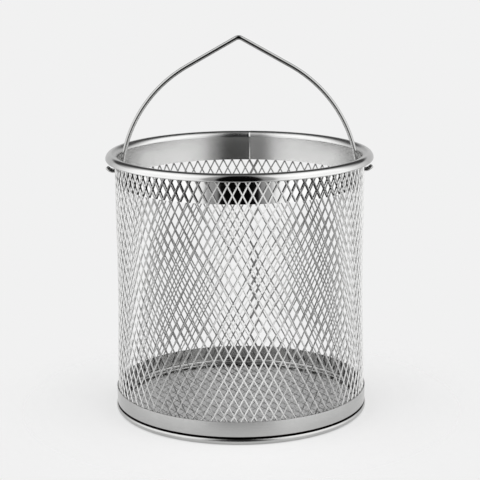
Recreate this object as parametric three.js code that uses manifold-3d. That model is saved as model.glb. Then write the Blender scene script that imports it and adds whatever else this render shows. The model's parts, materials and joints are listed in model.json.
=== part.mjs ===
// Round wire-mesh fry basket: a rim band with a curled lip, an expanded-metal wall and floor, a base ring and a bail.
// Millimetres, +Z up. The origin is on the table, under the centre of the basket.
import * as THREE from 'three';
import { mergeVertices } from 'three/addons/utils/BufferGeometryUtils.js';
import Module from 'manifold-3d';

// Driving dimensions of the basket
const RIM_DIAMETER = 170;       // over the curled lip
const BASKET_HEIGHT = 168;      // table to the crest of the lip
const SEAT_CLEARANCE = 0.3;     // between pieces that are welded or crimped together

// Rim band: a sheet hoop whose upper edge flares out to a crest, turns down as a lip and is curled under
const RIM_SHEET = 0.6;
const RIM_BAND_HEIGHT = 19.2;   // lower edge to the crest
const FLARE_RADIUS = 4;         // inner face, from the band to the crest
const LIP_RADIUS = 3.7;         // outer face, from the crest to the widest point
const CURL_RADIUS = 1.1;        // outer face, under the lip
const CURL_TURN = 180;          // degrees

// Base ring: a sheet hoop with an inward bead, a half-round foot and an inward ledge under the floor
const BASE_DIAMETER = 161.8;    // over the plain wall
const BASE_SHEET = 0.6;
const BASE_HEIGHT = 14.6;
const FOOT_OVERHANG = 0.6;      // how far the half-round foot stands out past the plain wall
const FOOT_RADIUS = 2.1;        // outside of the half-round
const GROOVE_RADIUS = 0.8;      // bottom of the groove that runs round the outside, above the foot
const GROOVE_DEPTH = 2.6;
const LEDGE_WIDTH = 2.5;        // flat part of the foot that stands on the table

// Expanded metal of the wall and the floor
const MESH_SHORT_PITCH = 13;    // width of a diamond
const MESH_LONG_PITCH = 25.5;   // length of a diamond
const STRAND_WIDTH = 2;
const STRAND_HEIGHT = 1.2;
const SELVAGE_WIDTH = 1.4;      // uncut strip along the upper and lower edge of the wall
const WAIST_DRAW = 0.7;         // how far the wall draws in half way between its two seats

// Bail: one bent wire with a pointed top, its ends passed out through the band and turned up
const BAIL_WIRE = 2.8;
const BAIL_RISE = 84;           // pivot axis to the middle of the wire at the top
const PIVOT_DROP = 12.5;        // crest of the lip down to the pivot axis
const PIVOT_PLAY = 0.35;        // wire to the edge of its hole
const BAIL_SLOPE = 29.4;        // degrees below horizontal, beside the point
const BAIL_LEG_ANGLE = 84;      // degrees below horizontal, where the leg reaches the pivot bend
const POINT_BEND = 4;           // bend radii at the middle of the wire
const PIVOT_BEND = 2;
const HOOK_BEND = 4;
const HOOK_TURN = 40;           // degrees
const HOOK_TIP = 1.5;           // straight end after the hook

// Fineness of the facets
const ROUND_FACETS = 44;
const WIRE_FACETS = 10;
const HOLE_FACETS = 16;

const wasm = await Module();
wasm.setup();

const radians = THREE.MathUtils.degToRad;
const degrees = THREE.MathUtils.radToDeg;

// How far the flats of a faceted ring lie inside its corners
const flatInset = (radius) => radius * (1 - Math.cos(Math.PI / ROUND_FACETS));

// Points on an arc in the section plane, x outward and y up, angles in degrees
function arc(centreX, centreY, radius, from, to, steps) {
  return Array.from({ length: steps + 1 }, (_, i) => {
    const angle = radians(from + ((to - from) * i) / steps);
    return new THREE.Vector2(centreX + radius * Math.cos(angle), centreY + radius * Math.sin(angle));
  });
}

// Ring made by turning a closed section about the vertical axis
function revolve(section) {
  const geometry = new THREE.LatheGeometry([...section, section[0]], ROUND_FACETS);
  geometry.rotateX(Math.PI / 2);
  return geometry;
}

function toSolid(geometry) {
  const bare = geometry.clone();
  bare.deleteAttribute('normal');
  bare.deleteAttribute('uv');
  const merged = mergeVertices(bare);
  return new wasm.Manifold(new wasm.Mesh({
    numProp: 3,
    vertProperties: new Float32Array(merged.attributes.position.array),
    triVerts: new Uint32Array(merged.index.array),
  }));
}

function toGeometry(solid) {
  const mesh = solid.getMesh();
  const geometry = new THREE.BufferGeometry();
  geometry.setAttribute('position', new THREE.BufferAttribute(mesh.vertProperties, 3));
  geometry.setIndex(new THREE.BufferAttribute(mesh.triVerts, 1));
  geometry.computeVertexNormals();
  return geometry;
}

// Rim band
const crestRadius = RIM_DIAMETER / 2 - LIP_RADIUS;
const rimBore = crestRadius - FLARE_RADIUS;
const rimOuter = rimBore + RIM_SHEET;
const lipHeight = BASKET_HEIGHT - LIP_RADIUS;
const rimBandBottom = BASKET_HEIGHT - RIM_BAND_HEIGHT;
const pivotHeight = BASKET_HEIGHT - PIVOT_DROP;

// Round cutter along X that clears the bail wire at both pivots
function pivotCutter() {
  const radius = BAIL_WIRE / 2 + PIVOT_PLAY;
  const cutter = new THREE.CylinderGeometry(radius, radius, 2 * RIM_DIAMETER, HOLE_FACETS);
  cutter.rotateZ(Math.PI / 2);
  cutter.translate(0, 0, pivotHeight);
  return toSolid(cutter);
}

function rimBandGeometry() {
  const flareHeight = BASKET_HEIGHT - FLARE_RADIUS;
  const curlCentre = RIM_DIAMETER / 2 - CURL_RADIUS;
  const section = [
    new THREE.Vector2(rimOuter, rimBandBottom),
    ...arc(crestRadius, flareHeight, FLARE_RADIUS - RIM_SHEET, 180, 90, 3),
    ...arc(crestRadius, lipHeight, LIP_RADIUS - RIM_SHEET, 90, 0, 3).slice(1),
    ...arc(curlCentre, lipHeight, CURL_RADIUS - RIM_SHEET, 0, -CURL_TURN, 3).slice(1),
    ...arc(curlCentre, lipHeight, CURL_RADIUS, -CURL_TURN, 0, 3),
    ...arc(crestRadius, lipHeight, LIP_RADIUS, 0, 90, 4).slice(1),
    ...arc(crestRadius, flareHeight, FLARE_RADIUS, 90, 180, 4).slice(1),
    new THREE.Vector2(rimBore, rimBandBottom),
  ];
  return toGeometry(toSolid(revolve(section)).subtract(pivotCutter()));
}

// Base ring
const baseOuter = BASE_DIAMETER / 2;
const baseBore = baseOuter - BASE_SHEET;
const footCentre = { x: baseOuter + FOOT_OVERHANG - FOOT_RADIUS, z: FOOT_RADIUS };
const footTop = footCentre.z + Math.sqrt(FOOT_RADIUS ** 2 - (baseOuter - footCentre.x) ** 2);
const grooveCentre = { x: baseOuter - GROOVE_DEPTH + GROOVE_RADIUS, z: footTop + GROOVE_RADIUS };
const beadRadius = GROOVE_RADIUS + BASE_SHEET;
const beadTop = grooveCentre.z + beadRadius;

function baseRingGeometry() {
  const hollowRadius = FOOT_RADIUS - BASE_SHEET;
  const ledgeRadius = footCentre.x - LEDGE_WIDTH;
  const footStart = degrees(Math.acos((baseOuter - footCentre.x) / FOOT_RADIUS));
  const hollowStart = degrees(Math.asin((grooveCentre.z - beadRadius - footCentre.z) / hollowRadius));
  const section = [
    new THREE.Vector2(baseBore, BASE_HEIGHT),
    new THREE.Vector2(baseBore, beadTop),
    ...arc(grooveCentre.x, grooveCentre.z, beadRadius, 90, 270, 4),
    ...arc(footCentre.x, footCentre.z, hollowRadius, hollowStart, -90, 3),
    new THREE.Vector2(ledgeRadius, BASE_SHEET),
    new THREE.Vector2(ledgeRadius, 0),
    ...arc(footCentre.x, footCentre.z, FOOT_RADIUS, -90, footStart, 5),
    ...arc(grooveCentre.x, grooveCentre.z, GROOVE_RADIUS, 270, 90, 4),
    new THREE.Vector2(baseOuter, grooveCentre.z + GROOVE_RADIUS),
    new THREE.Vector2(baseOuter, BASE_HEIGHT),
  ];
  return revolve(section);
}

// Net of expanded metal whose strands have a flat face and a ridge. Steps across and down count half diamonds, and
// strands cross where the sum of the two is even. place(across, down, height) gives a point of the net.
class StrandNet {
  constructor(halfShort, halfLong, place) {
    this.node = ((STRAND_WIDTH / 2) * Math.hypot(halfShort, halfLong)) / (halfShort * halfLong);
    this.place = place;
    this.positions = [];
  }

  flat(across, down) {
    return this.place(across, down, 0);
  }

  ridge(across, down) {
    return this.place(across, down, STRAND_HEIGHT);
  }

  // Corners run counter-clockwise as seen from the ridge side, or clockwise when turned
  face(corners, turned) {
    const ring = turned ? [...corners].reverse() : corners;
    for (let i = 1; i + 1 < ring.length; i += 1) {
      for (const corner of [ring[0], ring[i], ring[i + 1]]) this.positions.push(...corner);
    }
  }

  // Flat face of a crossing, between its four strands
  crossing(across, down) {
    this.face([
      this.flat(across, down - this.node),
      this.flat(across - this.node, down),
      this.flat(across, down + this.node),
      this.flat(across + this.node, down),
    ], true);
  }

  // Strand to the next crossing one step down, to the right (1) or left (-1). Where it leaves or reaches an edge
  // of the net, the width of the uncut strip there is given in steps.
  strand(across, down, side, startStrip = 0, endStrip = 0) {
    const mirrored = side < 0;
    const nextAcross = across + side;
    const nextDown = down + 1;
    const upperStart = this.flat(across + side * (this.node + startStrip), down + startStrip);
    const lowerStart = this.flat(across, down + this.node);
    const upperEnd = this.flat(nextAcross, nextDown - this.node);
    const lowerEnd = this.flat(nextAcross - side * (this.node + endStrip), nextDown - endStrip);
    const ridgeStart = this.ridge(across, down + startStrip / 2);
    const ridgeEnd = this.ridge(nextAcross, nextDown - endStrip / 2);
    this.face([lowerStart, lowerEnd, upperEnd, upperStart], !mirrored);
    this.face([ridgeStart, ridgeEnd, upperEnd, upperStart], mirrored);
    this.face([lowerStart, lowerEnd, ridgeEnd, ridgeStart], mirrored);
  }

  // End face where a crossing has no strand to that side (1 right) and level (1 down)
  stub(across, down, side, level) {
    this.face([
      this.ridge(across, down),
      this.flat(across, down + level * this.node),
      this.flat(across + side * this.node, down),
    ], side * level < 0);
  }

  // Uncut strip along an edge from one crossing to the next, with half a diamond cut out beside it
  selvage(across, edge, level, strip) {
    const turned = level < 0;
    const ends = [across, across + 1, across + 2];
    const corner = this.node + strip;
    const rim = ends.map((at) => this.flat(at, edge));
    const crest = ends.map((at) => this.ridge(at, edge + (level * strip) / 2));
    const cut = [across + corner, across + 1, across + 2 - corner].map((at) => this.flat(at, edge + level * strip));
    const nodeStart = this.flat(across, edge + level * this.node);
    const nodeEnd = this.flat(across + 2, edge + level * this.node);
    this.face([rim[0], crest[0], crest[1], rim[1]], turned);
    this.face([rim[1], crest[1], crest[2], rim[2]], turned);
    this.face([crest[0], cut[0], cut[1], crest[1]], turned);
    this.face([crest[1], cut[1], cut[2], crest[2]], turned);
    this.face([rim[0], rim[1], cut[1], cut[0], nodeStart], turned);
    this.face([rim[1], rim[2], nodeEnd, cut[2], cut[1]], turned);
  }

  geometry() {
    const geometry = new THREE.BufferGeometry();
    geometry.setAttribute('position', new THREE.Float32BufferAttribute(this.positions, 3));
    return geometry;
  }
}

// Wall of expanded metal
const wallTop = lipHeight - CURL_RADIUS - SEAT_CLEARANCE;
const wallBottom = beadTop + SEAT_CLEARANCE;
const wallTopRadius = rimOuter + SEAT_CLEARANCE;
const wallBottomRadius = baseBore - flatInset(baseBore) - SEAT_CLEARANCE - STRAND_HEIGHT;

// Inner radius of the wall: straight on both seats, drawn in between them
function wallRadius(z) {
  const between = THREE.MathUtils.clamp((z - BASE_HEIGHT) / (rimBandBottom - BASE_HEIGHT), 0, 1);
  const draw = (WAIST_DRAW * (1 - Math.cos(2 * Math.PI * between))) / 2;
  return THREE.MathUtils.lerp(wallBottomRadius, wallTopRadius, between) - draw;
}

function sideMeshGeometry() {
  const girth = Math.PI * (wallTopRadius + wallBottomRadius);
  const columns = 2 * Math.round(girth / MESH_SHORT_PITCH / 2);
  const rows = Math.max(3, Math.round((2 * (wallTop - wallBottom)) / MESH_LONG_PITCH));
  const stepsAround = 2 * columns;
  const halfShort = girth / stepsAround;
  const halfLong = (wallTop - wallBottom) / rows;
  const strip = SELVAGE_WIDTH / halfLong;

  const net = new StrandNet(halfShort, halfLong, (across, down, height) => {
    const angle = (2 * Math.PI * across) / stepsAround;
    const z = wallTop - down * halfLong;
    const radius = wallRadius(z) + height;
    return [radius * Math.cos(angle), radius * Math.sin(angle), z];
  });

  for (let down = 0; down <= rows; down += 1) {
    for (let across = down % 2; across < stepsAround; across += 2) {
      if (down === 0) net.selvage(across, 0, 1, strip);
      if (down === rows) net.selvage(across, rows, -1, strip);
      if (down > 0 && down < rows) net.crossing(across, down);
      if (down < rows) {
        const startStrip = down === 0 ? strip : 0;
        const endStrip = down + 1 === rows ? strip : 0;
        net.strand(across, down, 1, startStrip, endStrip);
        net.strand(across, down, -1, startStrip, endStrip);
      }
    }
  }
  return toGeometry(toSolid(net.geometry()).subtract(pivotCutter()));
}

// Floor: a flat net cut round, lying on the ledge inside the hollow foot
function bottomMeshGeometry() {
  const underside = BASE_SHEET + SEAT_CLEARANCE;
  const hollowRadius = FOOT_RADIUS - BASE_SHEET;
  const hollowReach = footCentre.x + Math.sqrt(hollowRadius ** 2 - (footCentre.z - underside) ** 2);
  const discRadius = hollowReach - flatInset(hollowReach) - SEAT_CLEARANCE;
  const halfShort = MESH_SHORT_PITCH / 2;
  const halfLong = MESH_LONG_PITCH / 2;
  const lastAcross = Math.ceil(discRadius / halfShort) + 1;
  const lastDown = Math.ceil(discRadius / halfLong) + 1;
  const inNet = (across, down) => Math.abs(across) <= lastAcross && Math.abs(down) <= lastDown;

  const net = new StrandNet(halfShort, halfLong, (across, down, height) => (
    [across * halfShort, -down * halfLong, underside + height]
  ));
  for (let down = -lastDown; down <= lastDown; down += 1) {
    for (let across = -lastAcross; across <= lastAcross; across += 1) {
      if ((across + down) % 2 !== 0) continue;
      net.crossing(across, down);
      for (const side of [-1, 1]) {
        if (inNet(across + side, down + 1)) net.strand(across, down, side);
        else net.stub(across, down, side, 1);
        if (!inNet(across + side, down - 1)) net.stub(across, down, side, -1);
      }
    }
  }

  const cutter = new THREE.CylinderGeometry(discRadius, discRadius, 4 * STRAND_HEIGHT, ROUND_FACETS);
  cutter.rotateX(Math.PI / 2);
  cutter.translate(0, 0, underside);
  const pieces = toSolid(net.geometry()).intersect(toSolid(cutter)).decompose();

  // Clippings that the round cut leaves loose fall away
  const largest = pieces.reduce((best, next) => (next.volume() > best.volume() ? next : best));
  return toGeometry(largest);
}

// A wire path given by its stations, which lie closer together in the bends
class StationPath extends THREE.Curve {
  constructor(stations) {
    super();
    this.stations = stations;
  }

  getUtoTmapping(u) {
    return u;
  }

  getPoint(t, target = new THREE.Vector3()) {
    return target.copy(this.stations[Math.round(t * (this.stations.length - 1))]);
  }

  getTangent(t, target = new THREE.Vector3()) {
    const last = this.stations.length - 1;
    const index = Math.round(t * last);
    const before = this.stations[Math.max(index - 1, 0)];
    const after = this.stations[Math.min(index + 1, last)];
    return target.subVectors(after, before).normalize();
  }
}

// Bail wire in the plane y = 0. The half on +X runs from the point to the hook and is mirrored.
function bailGeometry() {
  const bendEnd = rimBore - flatInset(rimBore) - SEAT_CLEARANCE;
  const leg = radians(BAIL_LEG_ANGLE);
  const slope = radians(BAIL_SLOPE);
  const pivotBend = { x: bendEnd, z: pivotHeight + PIVOT_BEND };
  const legEnd = {
    x: pivotBend.x - PIVOT_BEND * Math.sin(leg),
    z: pivotBend.z - PIVOT_BEND * Math.cos(leg),
  };

  // The shoulder is the one arc that joins the slope to the leg
  const pointTop = pivotHeight + BAIL_RISE;
  const sharpTop = pointTop + POINT_BEND * (1 / Math.cos(slope) - 1);
  const shoulderRadius = (sharpTop - legEnd.z - legEnd.x * Math.tan(slope))
    / (Math.cos(slope) - Math.cos(leg) - (Math.sin(leg) - Math.sin(slope)) * Math.tan(slope));
  const shoulder = {
    x: legEnd.x - shoulderRadius * Math.sin(leg),
    z: legEnd.z - shoulderRadius * Math.cos(leg),
  };

  const meshOuter = wallTopRadius + STRAND_HEIGHT;
  const hook = { x: meshOuter + SEAT_CLEARANCE + BAIL_WIRE / 4, z: pivotHeight + HOOK_BEND };
  const hookEnd = HOOK_TURN - 90;
  const tip = radians(HOOK_TURN);
  const half = [
    ...arc(0, pointTop - POINT_BEND, POINT_BEND, 90, 90 - BAIL_SLOPE, 2),
    ...arc(shoulder.x, shoulder.z, shoulderRadius, 90 - BAIL_SLOPE, 90 - BAIL_LEG_ANGLE, 8),
    ...arc(pivotBend.x, pivotBend.z, PIVOT_BEND, 270 - BAIL_LEG_ANGLE, 270, 4).slice(1),
    ...arc(hook.x, hook.z, HOOK_BEND, -90, hookEnd, 4),
  ];
  const hookLast = half[half.length - 1];
  half.push(new THREE.Vector2(hookLast.x + HOOK_TIP * Math.cos(tip), hookLast.y + HOOK_TIP * Math.sin(tip)));

  const right = half.map((point) => new THREE.Vector3(point.x, 0, point.y));
  const left = half.slice(1).map((point) => new THREE.Vector3(-point.x, 0, point.y));
  const stations = [...left.reverse(), ...right];
  const section = new THREE.Shape().absarc(0, 0, BAIL_WIRE / 2, 0, 2 * Math.PI);
  return new THREE.ExtrudeGeometry(section, {
    curveSegments: WIRE_FACETS / 2,
    steps: stations.length - 1,
    extrudePath: new StationPath(stations),
  });
}

// Materials: satin sheet, brighter expanded metal and polished wire, all stainless steel
const sheetSteel = { color: 0xb9babc, metalness: 1, roughness: 0.3 };
const meshSteel = { color: 0xc9cacc, metalness: 1, roughness: 0.35 };
const wireSteel = { color: 0xc4c5c7, metalness: 1, roughness: 0.22 };

function piece(name, geometry, finish) {
  const mesh = new THREE.Mesh(geometry, new THREE.MeshStandardMaterial(finish));
  mesh.name = name;
  return mesh;
}

const basket = new THREE.Group();
basket.name = 'fry_basket';
basket.add(
  piece('rim_band', rimBandGeometry(), sheetSteel),
  piece('side_mesh', sideMeshGeometry(), meshSteel),
  piece('base_ring', baseRingGeometry(), sheetSteel),
  piece('bottom_mesh', bottomMeshGeometry(), meshSteel),
  piece('bail', bailGeometry(), wireSteel),
);

export default basket;
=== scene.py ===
"""Round stainless fry basket on a pale floor: curled rim, expanded-metal wall and floor, base ring, bail."""

import json
import random
from math import acos, asin, atan2, ceil, cos, degrees, hypot, pi, radians, sin, sqrt, tan

import bpy
from mathutils import Matrix, Vector


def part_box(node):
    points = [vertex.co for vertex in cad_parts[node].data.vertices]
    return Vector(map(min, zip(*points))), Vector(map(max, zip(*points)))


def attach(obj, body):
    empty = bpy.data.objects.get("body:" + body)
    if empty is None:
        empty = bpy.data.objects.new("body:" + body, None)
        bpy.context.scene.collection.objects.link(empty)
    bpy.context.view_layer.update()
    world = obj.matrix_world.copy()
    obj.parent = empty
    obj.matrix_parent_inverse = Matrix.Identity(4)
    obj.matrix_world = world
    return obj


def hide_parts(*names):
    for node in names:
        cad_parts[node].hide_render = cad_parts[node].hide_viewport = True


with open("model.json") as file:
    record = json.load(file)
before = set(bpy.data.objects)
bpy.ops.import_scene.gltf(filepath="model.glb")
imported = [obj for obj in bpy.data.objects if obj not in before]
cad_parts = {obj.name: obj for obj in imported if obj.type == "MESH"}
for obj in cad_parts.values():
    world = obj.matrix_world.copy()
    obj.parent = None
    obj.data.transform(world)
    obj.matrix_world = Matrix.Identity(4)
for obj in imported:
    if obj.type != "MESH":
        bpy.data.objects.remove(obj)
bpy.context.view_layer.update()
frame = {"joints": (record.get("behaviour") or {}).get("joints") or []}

# Lengths below are in millimetres, angles in degrees
MM = 0.001

# Edges that bend by more than this stay sharp on a smooth piece
CREASE = 35

# Rim band: its sheet, and the flare, lip and curl of its upper edge
RIM_SHEET = 0.6
FLARE_RADIUS = 4.0
LIP_RADIUS = 3.7
CURL_RADIUS = 1.1
CURL_TURN = 180
UNDERSIDE_FACETS = 10
CURL_FACETS = 14
LIP_FACETS = 18

# Base ring: its sheet, the foot, the groove that is a bead on the inside, and the ledge under the floor
BASE_SHEET = 0.6
FOOT_RADIUS = 2.1
FOOT_OVERHANG = 0.6
GROOVE_RADIUS = 0.8
GROOVE_DEPTH = 2.6
LEDGE_WIDTH = 2.5
GROOVE_FACETS = 14
HOLLOW_FACETS = 12
FOOT_FACETS = 20

# Hoops: turn from station to station, and the lap seam's angle, step, and turns of ramp, flat and edge
HOOP_STEP = 1.5
SEAM_ANGLE = 84.5
SEAM_STEP = 0.5
SEAM_RAMP = 14.0
SEAM_FLAT = 5.5
SEAM_EDGE = 0.5

# Expanded metal: diamonds, strands and their lean, and each sheet's thickness, ridge and random seed
SHORT_PITCH = 6.03
LONG_PITCH = 11.38
STRAND_WIDTH = 0.76
STRAND_LEAN = 0.1
LEAN_SPREAD = 0.25
WALL_SHEET = 0.45
WALL_RIDGE = 0.31
WALL_SEED = 11
FLOOR_SHEET = 0.4
FLOOR_RIDGE = 0.06
FLOOR_SEED = 12

# Halvings of an edge that find where the border of a sheet cuts it
CUT_HALVINGS = 12

# Wall: depth of the stretched sheet, its seats, its waist, and the place of a crossing at the front
WALL_DEPTH = 1.2
WALL_INSET = 0.55
SEAT_CLEARANCE = 0.3
WAIST_DRAW = 0.7
FRONT_ROW_DROP = 8.7
FRONT_TURN = 1.26

# Lap of the wall: overlap, start, ease and slip in half diamonds, lift, and height over which it lifts
LAP_OVERLAP = 2
LAP_START = 8
LAP_EASE = 4
LAP_SLIP = 0.45
LAP_LIFT = 0.8
LAP_RISE = 12.0

# Bail wire: play in its bores, slopes from the point to the legs, bends, and hooks outside the wall
BAIL_WIRE = 2.8
PIVOT_PLAY = 0.35
BAIL_SLOPE = 29.4
BAIL_LEG_ANGLE = 84.0
POINT_BEND = 4.0
PIVOT_BEND = 2.0
HOOK_BEND = 4.0
HOOK_TURN = 40.0
HOOK_TIP = 1.5
WIRE_SIDES = 20
BORE_SIDES = 32
POINT_FACETS = 8
SHOULDER_FACETS = 48
PIVOT_FACETS = 12
HOOK_FACETS = 10
CAP_TURNS = (30, 60, 80)

# Steel: grain lines and polish clouds per metre, the noise levels that count, and what they change
HOOP_GRAIN = (14.0, 14.0, 1400.0)
MESH_GRAIN = (300.0, 300.0, 300.0)
WIRE_GRAIN = (500.0, 900.0, 500.0)
CLOUDS = (35.0, 35.0, 35.0)
GRAIN_DETAIL = 4.0
CLOUD_DETAIL = 5.0
NOISE_LOW = 0.3
NOISE_HIGH = 0.7
GRAIN_POLISH = 0.6
GRAIN_BUMP = 0.25
CLOUD_TINT = 0.9
CLOUD_DULL = 0.4
WARMTH = 0.005

# Inside: shares of painted shade on the inward faces of wall and base ring, its reach below the band, and
# duller inward faces
WALL_SHADE = 0.65
THIN_WALL_SHADE = 0.12
RING_SHADE = 0.25
WALL_SHADE_REACH = 2.0
RING_SHADE_EDGE = 0.5
WALL_DULL = 0.3
BAND_DULL = 0.14
FACING_EDGE = 0.2

# Painted shade, near black: its colour, and in the groove the depths where it starts and is full, and the
# skin and edge that it ends in
PAINTED_SHADE_COLOUR = (0.03, 0.026, 0.022, 1.0)
GROOVE_SHADE_START = 0.1
GROOVE_SHADE_FULL = 0.6
GROOVE_SHADE_SKIN = 0.05
GROOVE_SHADE_EDGE = 0.1

# Stage: its floor fades out towards its radius, and glows less under the basket than around it, which is
# painted shade under the basket
STAGE_RADIUS = 190.0
STAGE_FADE = 84.0
STAGE_SIDES = 96
STAGE_GREY = 0.45
STAGE_ROUGHNESS = 0.8
STAGE_SHINE = 0.1
GLOW_START = 78.5
GLOW_FULL = 82.0
PAINTED_SHADE_GLOW = 0.16
GLOW = 0.54

# Studio light as (elevation, level), and the back's share of it as (degrees from the back, share)
BACKDROP_GREY = 0.88
STUDIO_STRENGTH = 1.75
FRONT_LIGHT = [(-90, 0.4), (-15, 1.0), (0, 0.85), (20, 0.9), (45, 1.0), (65, 0.8), (90, 0.2)]
BACK_LIGHT = [(-90, 0.4), (-15, 0.38), (16, 0.38), (21, 0.04), (78, 0.05), (90, 0.12)]
BACK_BEARING = 180.0
BACK_SHARE = [(78, 0.0), (38, 1.0)]

# Dark gap between the front lights as (degrees from its bearing, depth) and (elevation, depth)
GAP_BEARING = -0.5
GAP_DEPTH = [(48, 0.0), (34, 0.2), (29, 0.68), (20.5, 0.78), (18, 0.998)]
GAP_HEIGHT = [(80, 1.0), (88, 0.0)]

# Camera, fitted to the rim, base and bail in the photograph
CAMERA_PLACE = (0.0, -982.1, 333.5)
CAMERA_TILT = 77.16
CAMERA_ROLL = -0.4
CAMERA_LENS = 117.43
CAMERA_SENSOR = 36.0


def node_box(node):
    """Lowest and highest corner of a CAD node in millimetres."""
    low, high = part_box(node)
    return Vector(low) / MM, Vector(high) / MM


rim_low, rim_high = node_box("rim_band")
wall_low, wall_high = node_box("side_mesh")
floor_low, floor_high = node_box("bottom_mesh")
base_high = node_box("base_ring")[1]
bail_high = node_box("bail")[1]
pivot_height = frame["joints"][0]["pos_m"][2] / MM

rim_radius = round(rim_high.x, 1)
rim_top = rim_high.z
crest_radius = rim_radius - LIP_RADIUS
rim_bore = crest_radius - FLARE_RADIUS
rim_outer = rim_bore + RIM_SHEET
foot_radius = round(base_high.x, 1)
base_outer = foot_radius - FOOT_OVERHANG
foot_centre = (foot_radius - FOOT_RADIUS, FOOT_RADIUS)
foot_top = foot_centre[1] + sqrt(FOOT_RADIUS**2 - (base_outer - foot_centre[0]) ** 2)
groove_centre = (base_outer - GROOVE_DEPTH + GROOVE_RADIUS, foot_top + GROOVE_RADIUS)


def arc(centre, radius, start, end, steps):
    """Points on an arc of a section, as (outward, up)."""
    angles = [radians(start + (end - start) * step / steps) for step in range(steps + 1)]
    return [(centre[0] + radius * cos(angle), centre[1] + radius * sin(angle)) for angle in angles]


def smooth(value):
    """Smooth step from 0 to 1."""
    value = min(max(value, 0.0), 1.0)
    return value * value * (3 - 2 * value)


def ring_faces(rings, size, closed=False, flip=False):
    """Faces that join each ring of points to the next, and the last to the first if closed."""
    faces = []
    for ring in range(rings if closed else rings - 1):
        here = ring * size
        after = (ring + 1) % rings * size
        for corner in range(size):
            beside = (corner + 1) % size
            if flip:
                faces.append((here + corner, after + corner, after + beside, here + beside))
            else:
                faces.append((here + corner, here + beside, after + beside, after + corner))
    return faces


def mesh_object(name, points, faces):
    """Smooth-shaded object from points in millimetres, with sharp edges past the crease angle."""
    mesh = bpy.data.meshes.new(name)
    mesh.from_pydata([Vector(point) * MM for point in points], [], faces)
    mesh.polygons.foreach_set("use_smooth", [True] * len(mesh.polygons))
    mesh.set_sharp_from_angle(angle=radians(CREASE))
    mesh.update()
    piece = bpy.data.objects.new(name, mesh)
    bpy.context.scene.collection.objects.link(piece)
    return piece


def apply_modifiers(piece):
    """Keeps the evaluated mesh and drops the modifiers."""
    evaluated = piece.evaluated_get(bpy.context.evaluated_depsgraph_get())
    shaped = bpy.data.meshes.new_from_object(evaluated)
    piece.modifiers.clear()
    old = piece.data
    piece.data = shaped
    bpy.data.meshes.remove(old)


def lapped_hoop(name, section, seam_step):
    """Closed section turned into a hoop. Its start is left flat by the rolls, and its end steps inward over
    the start at the lap seam and has a bevelled edge."""
    turns = [station * HOOP_STEP for station in range(round(360 / HOOP_STEP))] + [360 - SEAM_EDGE, 360]
    points = []
    for turned in turns:
        step_in = seam_step * smooth((turned - 360 + SEAM_RAMP) / SEAM_RAMP) if turned < 360 else 0.0
        flat = 1 / cos(radians(max(SEAM_FLAT - turned, 0.0)))
        angle = radians(SEAM_ANGLE - turned)
        for radius, height in section:
            reach = radius * flat - step_in
            points.append((reach * cos(angle), reach * sin(angle), height))
    return mesh_object(name, points, ring_faces(len(turns), len(section), closed=True))


def cut_pivot_holes(piece):
    """Round holes for the bail wire, right through along X."""
    radius = BAIL_WIRE / 2 + PIVOT_PLAY
    reach = 2 * rim_radius
    points = []
    for end in (-reach, reach):
        for side in range(BORE_SIDES):
            angle = 2 * pi * side / BORE_SIDES
            points.append((end, radius * cos(angle), pivot_height + radius * sin(angle)))
    ends = [tuple(reversed(range(BORE_SIDES))), tuple(range(BORE_SIDES, 2 * BORE_SIDES))]
    cutter = mesh_object("pivot_cutter", points, ends + ring_faces(2, BORE_SIDES))
    cut = piece.modifiers.new("pivot_holes", "BOOLEAN")
    cut.operation = "DIFFERENCE"
    cut.solver = "EXACT"
    cut.object = cutter
    apply_modifiers(piece)
    bpy.data.meshes.remove(cutter.data)


def rim_band():
    """Sheet hoop whose upper edge flares out into a curled, hollow lip."""
    flare_centre = (crest_radius, rim_top - FLARE_RADIUS)
    lip_centre = (crest_radius, rim_top - LIP_RADIUS)
    curl_centre = (rim_radius - CURL_RADIUS, lip_centre[1])
    section = [(rim_outer, rim_low.z)]
    section += arc(flare_centre, FLARE_RADIUS - RIM_SHEET, 180, 90, UNDERSIDE_FACETS)
    section += arc(lip_centre, LIP_RADIUS - RIM_SHEET, 90, 0, UNDERSIDE_FACETS)[1:]
    section += arc(curl_centre, CURL_RADIUS - RIM_SHEET, 0, -CURL_TURN, UNDERSIDE_FACETS)[1:]
    section += arc(curl_centre, CURL_RADIUS, -CURL_TURN, 0, CURL_FACETS)
    section += arc(lip_centre, LIP_RADIUS, 0, 90, LIP_FACETS)[1:]
    section += arc(flare_centre, FLARE_RADIUS, 90, 180, LIP_FACETS)[1:]
    section += [(rim_bore, rim_low.z)]
    piece = lapped_hoop("rim_band_smooth", section, SEAM_STEP)
    cut_pivot_holes(piece)
    return piece


def base_ring():
    """Sheet hoop with a groove outside, a half-round foot and a ledge that carries the floor."""
    bead_radius = GROOVE_RADIUS + BASE_SHEET
    hollow_radius = FOOT_RADIUS - BASE_SHEET
    ledge_radius = foot_centre[0] - LEDGE_WIDTH
    foot_start = degrees(acos((base_outer - foot_centre[0]) / FOOT_RADIUS))
    hollow_start = degrees(asin((groove_centre[1] - bead_radius - foot_centre[1]) / hollow_radius))
    base_bore = base_outer - BASE_SHEET
    section = [(base_bore, base_high.z), (base_bore, groove_centre[1] + bead_radius)]
    section += arc(groove_centre, bead_radius, 90, 270, GROOVE_FACETS)
    section += arc(foot_centre, hollow_radius, hollow_start, -90, HOLLOW_FACETS)
    section += [(ledge_radius, BASE_SHEET), (ledge_radius, 0.0)]
    section += arc(foot_centre, FOOT_RADIUS, -90, foot_start, FOOT_FACETS)
    section += arc(groove_centre, GROOVE_RADIUS, 270, 90, GROOVE_FACETS)
    section += [(base_outer, groove_centre[1] + GROOVE_RADIUS), (base_outer, base_high.z)]
    return lapped_hoop("base_ring_smooth", section, SEAM_STEP / 2)


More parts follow.
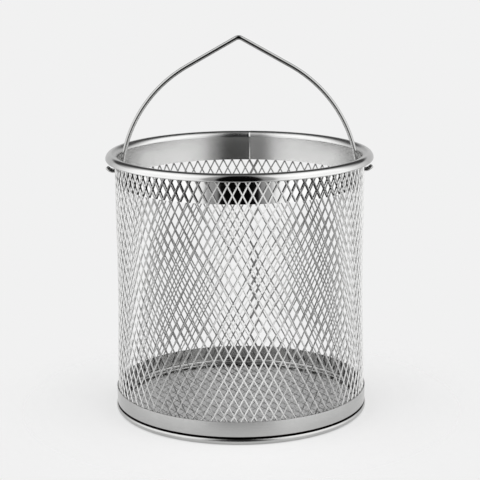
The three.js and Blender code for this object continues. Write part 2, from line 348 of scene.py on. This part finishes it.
class ExpandedMetal:
    """Slit and stretched sheet. Steps across and down count half diamonds, and strands cross where their sum
    is even. place(across, down, lift) gives a point, with lift towards the outer face. Each strand is folded
    along a ridge, and leans, because its right edge stands out and its left edge stands back."""

    half_short = SHORT_PITCH / 2
    half_long = LONG_PITCH / 2
    reach = STRAND_WIDTH / 2 * hypot(half_short, half_long) / (half_short * half_long)
    ways = {"up": (0, -1), "left": (-1, 0), "down": (0, 1), "right": (1, 0)}

    def __init__(self, place, sheet, ridge, seed):
        self.place = place
        self.sheet = sheet
        self.ridge = ridge
        self.chance = random.Random(seed)
        self.points = []
        self.faces = []
        self.crossings = {}

    def point(self, across, down, lift):
        """Index of a new point."""
        self.points.append(self.place(across, down, lift))
        return len(self.points) - 1

    def crossing(self, across, down):
        """Indices of the ridge where strands cross, and of an edge point each way from it."""
        key = (across, down)
        if key not in self.crossings:
            lean = STRAND_LEAN * self.chance.uniform(1 - LEAN_SPREAD, 1 + LEAN_SPREAD)
            made = {"ridge": self.point(across, down, self.ridge / 2)}
            for way, (to_right, to_bottom) in self.ways.items():
                made[way] = self.point(across + self.reach * to_right, down + self.reach * to_bottom,
                                       lean * to_right - self.ridge / 2)
            self.crossings[key] = made
        return self.crossings[key]

    def strand(self, start, start_ways, end, end_ways):
        """Two faces from one crossing to the next, one on each side of the ridge. The ways name the edge
        points."""
        first, second = (start[way] for way in start_ways)
        first_end, second_end = (end[way] for way in end_ways)
        self.faces.append((first, start["ridge"], end["ridge"], first_end))
        self.faces.append((start["ridge"], second, second_end, end["ridge"]))

    def fill(self, columns, rows):
        """Strands between the crossings, from the first to the last step across and down."""
        for down in range(rows[0], rows[1]):
            for across in range(columns[0], columns[1] + 1):
                if (across + down) % 2:
                    continue
                crossing = self.crossing(across, down)
                if across > columns[0]:
                    to_left = self.crossing(across - 1, down + 1)
                    self.strand(crossing, ("down", "left"), to_left, ("right", "up"))
                if across < columns[1]:
                    to_right = self.crossing(across + 1, down + 1)
                    self.strand(crossing, ("right", "down"), to_right, ("up", "left"))

    def clip(self, depth):
        """Cuts the faces off where depth(point) falls below zero."""
        inside = [depth(point) >= 0 for point in self.points]
        cuts = {}

        def cut_point(kept, lost):
            """Index of the point where the edge between a kept and a lost point is cut."""
            if (kept, lost) not in cuts:
                near = Vector(self.points[kept])
                far = Vector(self.points[lost])
                for _ in range(CUT_HALVINGS):
                    middle = (near + far) / 2
                    near, far = (middle, far) if depth(middle) >= 0 else (near, middle)
                cuts[kept, lost] = len(self.points)
                self.points.append(near)
            return cuts[kept, lost]

        kept_faces = []
        for face in self.faces:
            cut = []
            for here, after in zip(face, face[1:] + face[:1]):
                if inside[here]:
                    cut.append(here)
                if inside[here] and not inside[after]:
                    cut.append(cut_point(here, after))
                if inside[after] and not inside[here]:
                    cut.append(cut_point(after, here))
            if len(cut) > 2:
                kept_faces.append(cut)

        # Points that no face uses any more are dropped
        used = sorted({corner for face in kept_faces for corner in face})
        places = {corner: place for place, corner in enumerate(used)}
        self.points = [self.points[corner] for corner in used]
        self.faces = [tuple(places[corner] for corner in face) for face in kept_faces]

    def piece(self, name):
        """Object with the sheet's thickness and flat faces."""
        made = mesh_object(name, self.points, self.faces)
        thicken = made.modifiers.new("sheet", "SOLIDIFY")
        thicken.thickness = self.sheet * MM
        thicken.offset = 0.0
        apply_modifiers(made)
        made.data.polygons.foreach_set("use_smooth", [False] * len(made.data.polygons))
        return made


def wall_radius(height):
    """Middle of the wall's sheet: straight on both seats, drawn in between them."""
    top = rim_outer + SEAT_CLEARANCE + WALL_DEPTH / 2
    bottom = base_outer - BASE_SHEET - WALL_INSET
    between = min(max((height - base_high.z) / (rim_low.z - base_high.z), 0.0), 1.0)
    return bottom + (top - bottom) * between - WAIST_DRAW * (1 - cos(2 * pi * between)) / 2


def side_mesh():
    """Wall sheet, wrapped once round with its ends lapped at the back. Its edges cut through the diamonds."""
    step_angle = degrees(ExpandedMetal.half_short / wall_radius(rim_low.z))
    front_angle = FRONT_TURN - 90
    first = round((SEAM_ANGLE - 360 - front_angle) / step_angle) - LAP_OVERLAP
    last = first + round(360 / step_angle) + LAP_OVERLAP
    front_row = wall_high.z - FRONT_ROW_DROP
    highest = -ceil(FRONT_ROW_DROP / ExpandedMetal.half_long)
    lowest = ceil((front_row - wall_low.z) / ExpandedMetal.half_long)

    def place(across, down, lift):
        lapped = smooth((across - last + LAP_START) / LAP_EASE)
        angle = radians(front_angle + (across + LAP_SLIP * lapped) * step_angle)
        height = front_row - down * ExpandedMetal.half_long
        opened = smooth((height - base_high.z) / LAP_RISE)
        radius = wall_radius(height) + lift + LAP_LIFT * lapped * opened
        return (radius * cos(angle), radius * sin(angle), height)

    metal = ExpandedMetal(place, WALL_SHEET, WALL_RIDGE, WALL_SEED)
    metal.fill((first, last), (highest, lowest))
    metal.clip(lambda point: min(wall_high.z - point[2], point[2] - wall_low.z))
    piece = metal.piece("side_mesh_fine")
    cut_pivot_holes(piece)
    return piece


def bottom_mesh():
    """Floor sheet, cut round, with its long way from front to back."""
    middle = (floor_low.z + floor_high.z) / 2
    radius = floor_high.x
    most_across = ceil(radius / ExpandedMetal.half_short) + 1
    most_down = ceil(radius / ExpandedMetal.half_long) + 1

    def place(across, down, lift):
        return (across * ExpandedMetal.half_short, -down * ExpandedMetal.half_long, middle + lift)

    metal = ExpandedMetal(place, FLOOR_SHEET, FLOOR_RIDGE, FLOOR_SEED)
    metal.fill((-most_across, most_across), (-most_down, most_down))
    metal.clip(lambda point: radius - hypot(point[0], point[1]))
    return metal.piece("bottom_mesh_fine")


def bail_path():
    """Middle of the wire from the left hook over the point to the right hook, as (across, up)."""
    bend_end = rim_bore - 2 * SEAT_CLEARANCE
    leg = radians(BAIL_LEG_ANGLE)
    slope = radians(BAIL_SLOPE)
    pivot_bend = (bend_end, pivot_height + PIVOT_BEND)
    leg_end = (pivot_bend[0] - PIVOT_BEND * sin(leg), pivot_bend[1] - PIVOT_BEND * cos(leg))
    point_top = bail_high.z - BAIL_WIRE / 2
    sharp_top = point_top + POINT_BEND * (1 / cos(slope) - 1)
    rise = sharp_top - leg_end[1] - leg_end[0] * tan(slope)
    shoulder_radius = rise / (cos(slope) - cos(leg) - (sin(leg) - sin(slope)) * tan(slope))
    shoulder = (leg_end[0] - shoulder_radius * sin(leg), leg_end[1] - shoulder_radius * cos(leg))
    wall_outer = wall_radius(pivot_height) + WALL_DEPTH / 2
    hook = (wall_outer + SEAT_CLEARANCE + BAIL_WIRE / 4, pivot_height + HOOK_BEND)
    half = arc((0.0, point_top - POINT_BEND), POINT_BEND, 90, 90 - BAIL_SLOPE, POINT_FACETS)
    half += arc(shoulder, shoulder_radius, 90 - BAIL_SLOPE, 90 - BAIL_LEG_ANGLE, SHOULDER_FACETS)
    half += arc(pivot_bend, PIVOT_BEND, 270 - BAIL_LEG_ANGLE, 270, PIVOT_FACETS)[1:]
    half += arc(hook, HOOK_BEND, -90, HOOK_TURN - 90, HOOK_FACETS)
    tip = radians(HOOK_TURN)
    half.append((half[-1][0] + HOOK_TIP * cos(tip), half[-1][1] + HOOK_TIP * sin(tip)))
    return [(-across, up) for across, up in reversed(half[1:])] + half


def bail():
    """Round wire swept along its path in the plane y = 0, with rounded ends."""
    path = bail_path()
    radius = BAIL_WIRE / 2
    rings = []
    for index, (across, up) in enumerate(path):
        before = path[max(index - 1, 0)]
        after = path[min(index + 1, len(path) - 1)]
        rings.append((across, up, atan2(after[1] - before[1], after[0] - before[0]), radius))

    # Rings of the rounded ends, each smaller than the last
    for turn in CAP_TURNS:
        for end, way in ((0, -1), (-1, 1)):
            across, up = path[end]
            heading = rings[end][2]
            ahead = way * radius / 2 * sin(radians(turn))
            size = radius * cos(radians(turn))
            ring = (across + ahead * cos(heading), up + ahead * sin(heading), heading, size)
            rings.insert(0 if end == 0 else len(rings), ring)

    points = []
    for across, up, heading, size in rings:
        for side in range(WIRE_SIDES):
            angle = 2 * pi * side / WIRE_SIDES
            out = size * cos(angle)
            points.append((across - out * sin(heading), size * sin(angle), up + out * cos(heading)))
    ends = [tuple(range(WIRE_SIDES)), tuple(reversed(range(len(points) - WIRE_SIDES, len(points))))]
    return mesh_object("bail_smooth", points, ends + ring_faces(len(rings), WIRE_SIDES, flip=True))


def grey(level):
    """Opaque grey colour."""
    return (level, level, level, 1.0)


def connect(tree, value, socket):
    """Links a node's output to a socket, or sets the socket to a plain value."""
    if isinstance(value, bpy.types.NodeSocket):
        tree.links.new(value, socket)
    else:
        socket.default_value = value


def number_math(tree, operation, *values):
    """Output of a math node."""
    node = tree.nodes.new("ShaderNodeMath")
    node.operation = operation
    for value, socket in zip(values, node.inputs):
        connect(tree, value, socket)
    return node.outputs["Value"]


def vector_math(tree, operation, *vectors):
    """Output of a vector math node: a number for a length or a dot product, or else a vector."""
    node = tree.nodes.new("ShaderNodeVectorMath")
    node.operation = operation
    for vector, socket in zip(vectors, node.inputs):
        connect(tree, vector, socket)
    return node.outputs["Value" if operation in ("LENGTH", "DOT_PRODUCT") else "Vector"]


def level_part(tree, vector):
    """Vector without its height."""
    return vector_math(tree, "MULTIPLY", vector, (1.0, 1.0, 0.0))


def height_part(tree, vector):
    """Height of a vector."""
    split = tree.nodes.new("ShaderNodeSeparateXYZ")
    tree.links.new(vector, split.inputs["Vector"])
    return split.outputs["Z"]


def fit(tree, value, start, end, low=0.0, high=1.0, curve="LINEAR"):
    """Level that goes from low to high while a value goes from start to end."""
    node = tree.nodes.new("ShaderNodeMapRange")
    node.interpolation_type = curve
    node.inputs["From Min"].default_value = start
    node.inputs["From Max"].default_value = end
    node.inputs["To Min"].default_value = low
    node.inputs["To Max"].default_value = high
    tree.links.new(value, node.inputs["Value"])
    return node.outputs["Result"]


def fade(tree, length, start, end, low=0.0, high=1.0):
    """Level that goes softly from low to high while a length goes from start to end in millimetres."""
    return fit(tree, length, start * MM, end * MM, low, high, "SMOOTHSTEP")


def mix(tree, factor, first, second, blend="MIX"):
    """Colour blended from two colours."""
    node = tree.nodes.new("ShaderNodeMix")
    node.data_type = "RGBA"
    node.blend_type = blend
    for value, name in ((factor, "Factor"), (first, "A"), (second, "B")):
        connect(tree, value, node.inputs[name])
    return node.outputs["Result"]


def noise(tree, place, scale, detail):
    """Noise with its scale per metre along each axis."""
    stretch = tree.nodes.new("ShaderNodeMapping")
    stretch.inputs["Scale"].default_value = scale
    tree.links.new(place, stretch.inputs["Vector"])
    texture = tree.nodes.new("ShaderNodeTexNoise")
    texture.inputs["Scale"].default_value = 1.0
    texture.inputs["Detail"].default_value = detail
    tree.links.new(stretch.outputs["Vector"], texture.inputs["Vector"])
    return texture.outputs["Fac"]


def inward(tree, place):
    """Factor that is 1 on faces that look towards the basket's axis and 0 on faces that look away from it."""
    outward = vector_math(tree, "NORMALIZE", level_part(tree, place))
    normal = tree.nodes.new("ShaderNodeNewGeometry").outputs["True Normal"]
    facing = vector_math(tree, "DOT_PRODUCT", outward, normal)
    return fit(tree, facing, FACING_EDGE, -FACING_EDGE)


def ring_painted_shade(tree, place):
    """Factor of painted shade on the base ring: full in the groove and thin inside, above the bead."""
    radius = vector_math(tree, "LENGTH", level_part(tree, place))
    height = height_part(tree, place)
    off_middle = number_math(tree, "ABSOLUTE", number_math(tree, "SUBTRACT", height, groove_centre[1] * MM))
    # Painted shade deep in the groove, darkest at its bottom
    groove_shade_end = base_outer - GROOVE_DEPTH - GROOVE_SHADE_SKIN
    deep = fade(tree, radius, base_outer - GROOVE_SHADE_START, base_outer - GROOVE_SHADE_FULL)
    outside = fade(tree, radius, groove_shade_end - GROOVE_SHADE_EDGE, groove_shade_end)
    within = fade(tree, off_middle, GROOVE_RADIUS + GROOVE_SHADE_EDGE, GROOVE_RADIUS)
    groove = number_math(tree, "MULTIPLY", number_math(tree, "MULTIPLY", deep, outside), within)
    # Thin painted shade on the ring's inward face above the bead
    bead_top = groove_centre[1] + GROOVE_RADIUS + BASE_SHEET
    above_bead = fade(tree, height, bead_top, bead_top + RING_SHADE_EDGE)
    inside = number_math(tree, "MULTIPLY", inward(tree, place), above_bead)
    return number_math(tree, "MAXIMUM", groove, number_math(tree, "MULTIPLY", inside, RING_SHADE))


def wall_painted_shade(tree, place):
    """Factor of painted shade on the inward faces of the wall, which is deepest behind the rim band."""
    # Painted shade: thin low on the wall and deepest just under the rim band
    thickness = fade(tree, height_part(tree, place), rim_low.z - WALL_SHADE_REACH, rim_low.z, THIN_WALL_SHADE, WALL_SHADE)
    return number_math(tree, "MULTIPLY", thickness, inward(tree, place))


def shaded_material(name):
    """New material, with its node tree and its shader."""
    material = bpy.data.materials.new(name)
    material.use_nodes = True
    return material, material.node_tree, material.node_tree.nodes["Principled BSDF"]


def steel(name, level, roughness, grain, grain_depth, painted_shade=None, inside_dull=0.0):
    """Stainless steel with fine grain lines and cloudy polish. level is its brightness. grain gives the lines
    per metre. A function may be given that returns the factor of painted shade, which darkens the colour.
    inside_dull roughens inward faces."""
    material, tree, shader = shaded_material(name)
    shader.inputs["Metallic"].default_value = 1.0
    place = tree.nodes.new("ShaderNodeTexCoord").outputs["Object"]
    lines = noise(tree, place, grain, GRAIN_DETAIL)
    clouds = noise(tree, place, CLOUDS, CLOUD_DETAIL)

    colour = (level, level, level - WARMTH)
    clouded = [CLOUD_TINT * part for part in colour]
    tint = fit(tree, clouds, NOISE_LOW, NOISE_HIGH)
    surface = mix(tree, tint, (*clouded, 1.0), (*colour, 1.0))
    # Painted shade: the colour goes towards near black by the given factor
    if painted_shade:
        surface = mix(tree, painted_shade(tree, place), surface, PAINTED_SHADE_COLOUR)
    tree.links.new(surface, shader.inputs["Base Color"])

    line_finish = fit(tree, lines, NOISE_LOW, NOISE_HIGH, GRAIN_POLISH * roughness, roughness)
    cloud_finish = fit(tree, clouds, NOISE_LOW, NOISE_HIGH, 0.0, CLOUD_DULL * roughness)
    finish = number_math(tree, "ADD", line_finish, cloud_finish)
    if inside_dull:
        finish = number_math(tree, "MULTIPLY_ADD", inward(tree, place), inside_dull, finish)
    tree.links.new(finish, shader.inputs["Roughness"])

    bump = tree.nodes.new("ShaderNodeBump")
    bump.inputs["Strength"].default_value = GRAIN_BUMP
    bump.inputs["Distance"].default_value = grain_depth * MM
    tree.links.new(lines, bump.inputs["Height"])
    tree.links.new(bump.outputs["Normal"], shader.inputs["Normal"])
    return material


def dress(piece, body, node, material):
    """Gives a piece its material and puts it in the place of its CAD node."""
    piece.data.materials.clear()
    piece.data.materials.append(material)
    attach(piece, body)
    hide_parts(node)


rim_steel = steel("rim_steel", level=0.62, roughness=0.09, grain=HOOP_GRAIN, grain_depth=0.01,
                  inside_dull=BAND_DULL)
base_steel = steel("base_steel", level=0.5, roughness=0.2, grain=HOOP_GRAIN, grain_depth=0.01,
                   painted_shade=ring_painted_shade)
wall_steel = steel("wall_steel", level=0.64, roughness=0.38, grain=MESH_GRAIN, grain_depth=0.02,
                   painted_shade=wall_painted_shade, inside_dull=WALL_DULL)
floor_steel = steel("floor_steel", level=0.95, roughness=0.25, grain=MESH_GRAIN, grain_depth=0.02)
wire_steel = steel("wire_steel", level=0.44, roughness=0.12, grain=WIRE_GRAIN, grain_depth=0.01)

dress(rim_band(), "basket", "rim_band", rim_steel)
dress(base_ring(), "basket", "base_ring", base_steel)
dress(side_mesh(), "basket", "side_mesh", wall_steel)
dress(bottom_mesh(), "basket", "bottom_mesh", floor_steel)
dress(bail(), "bail", "bail", wire_steel)


def pale_floor():
    """Round pale table top under the basket, which fades into the backdrop towards its edge."""
    turns = [2 * pi * side / STAGE_SIDES for side in range(STAGE_SIDES)]
    points = [(STAGE_RADIUS * cos(turn), STAGE_RADIUS * sin(turn), 0.0) for turn in turns]
    floor = mesh_object("pale_floor", points, [tuple(range(STAGE_SIDES))])
    material, tree, shader = shaded_material("pale_floor")
    shader.inputs["Base Color"].default_value = grey(STAGE_GREY)
    shader.inputs["Roughness"].default_value = STAGE_ROUGHNESS
    shader.inputs["Specular IOR Level"].default_value = STAGE_SHINE
    shader.inputs["Emission Color"].default_value = grey(1.0)
    away = vector_math(tree, "LENGTH", tree.nodes.new("ShaderNodeTexCoord").outputs["Object"])
    tree.links.new(fade(tree, away, STAGE_RADIUS, STAGE_FADE), shader.inputs["Alpha"])
    # Painted shade under the basket: the floor glows less there than around it
    glow_with_painted_shade = fade(tree, away, GLOW_START, GLOW_FULL, PAINTED_SHADE_GLOW, GLOW)
    tree.links.new(glow_with_painted_shade, shader.inputs["Emission Strength"])
    floor.data.materials.append(material)


def studio():
    """Two soft lights at the front with a dark gap between them, and a dark room above the pale sweep at the
    back. The camera itself sees a plain backdrop."""
    world = bpy.data.worlds.new("studio")
    bpy.context.scene.world = world
    world.use_nodes = True
    tree = world.node_tree
    nodes = tree.nodes
    nodes.clear()
    direction = nodes.new("ShaderNodeTexCoord").outputs["Generated"]
    height = height_part(tree, direction)
    level_way = vector_math(tree, "NORMALIZE", level_part(tree, direction))

    def ramp(value, stops):
        """Curve through (place, level) stops. Places run from -1 to 1."""
        shade = nodes.new("ShaderNodeValToRGB")
        elements = shade.color_ramp.elements
        while len(elements) < len(stops):
            elements.new(0.5)
        for element, (place, level) in zip(elements, stops):
            element.position = (place + 1) / 2
            element.color = grey(level)
        tree.links.new(fit(tree, value, -1.0, 1.0), shade.inputs["Fac"])
        return shade.outputs["Color"]

    def by_height(levels):
        """Ramp over levels given at elevations in degrees."""
        return ramp(height, [(sin(radians(elevation)), level) for elevation, level in levels])

    def by_bearing(centre, stops):
        """Ramp over stops at degrees away from a bearing, which is 0 at the front and grows to the right."""
        towards = (sin(radians(centre)), -cos(radians(centre)), 0.0)
        nearness = vector_math(tree, "DOT_PRODUCT", level_way, towards)
        return ramp(nearness, [(cos(radians(away)), level) for away, level in stops])

    light = mix(tree, by_bearing(BACK_BEARING, BACK_SHARE), by_height(FRONT_LIGHT), by_height(BACK_LIGHT))
    gap = mix(tree, 1.0, by_bearing(GAP_BEARING, GAP_DEPTH), by_height(GAP_HEIGHT), "MULTIPLY")
    studio_light = nodes.new("ShaderNodeBackground")
    studio_light.inputs["Strength"].default_value = STUDIO_STRENGTH
    tree.links.new(mix(tree, gap, light, grey(0.0)), studio_light.inputs["Color"])
    backdrop = nodes.new("ShaderNodeBackground")
    backdrop.inputs["Color"].default_value = grey(BACKDROP_GREY)
    seen = nodes.new("ShaderNodeMixShader")
    tree.links.new(nodes.new("ShaderNodeLightPath").outputs["Is Camera Ray"], seen.inputs["Fac"])
    tree.links.new(studio_light.outputs["Background"], seen.inputs[1])
    tree.links.new(backdrop.outputs["Background"], seen.inputs[2])
    output = nodes.new("ShaderNodeOutputWorld")
    tree.links.new(seen.outputs["Shader"], output.inputs["Surface"])
    bpy.context.scene.view_settings.view_transform = "Standard"


def camera():
    """Camera of the photograph, tilted down from the front."""
    data = bpy.data.cameras.new("camera")
    data.lens = CAMERA_LENS
    data.sensor_width = CAMERA_SENSOR
    seen_from = bpy.data.objects.new("camera", data)
    turn = Matrix.Rotation(radians(CAMERA_TILT), 4, "X") @ Matrix.Rotation(radians(CAMERA_ROLL), 4, "Z")
    seen_from.matrix_world = Matrix.Translation(Vector(CAMERA_PLACE) * MM) @ turn
    bpy.context.scene.collection.objects.link(seen_from)
    bpy.context.scene.camera = seen_from


pale_floor()
studio()
camera()
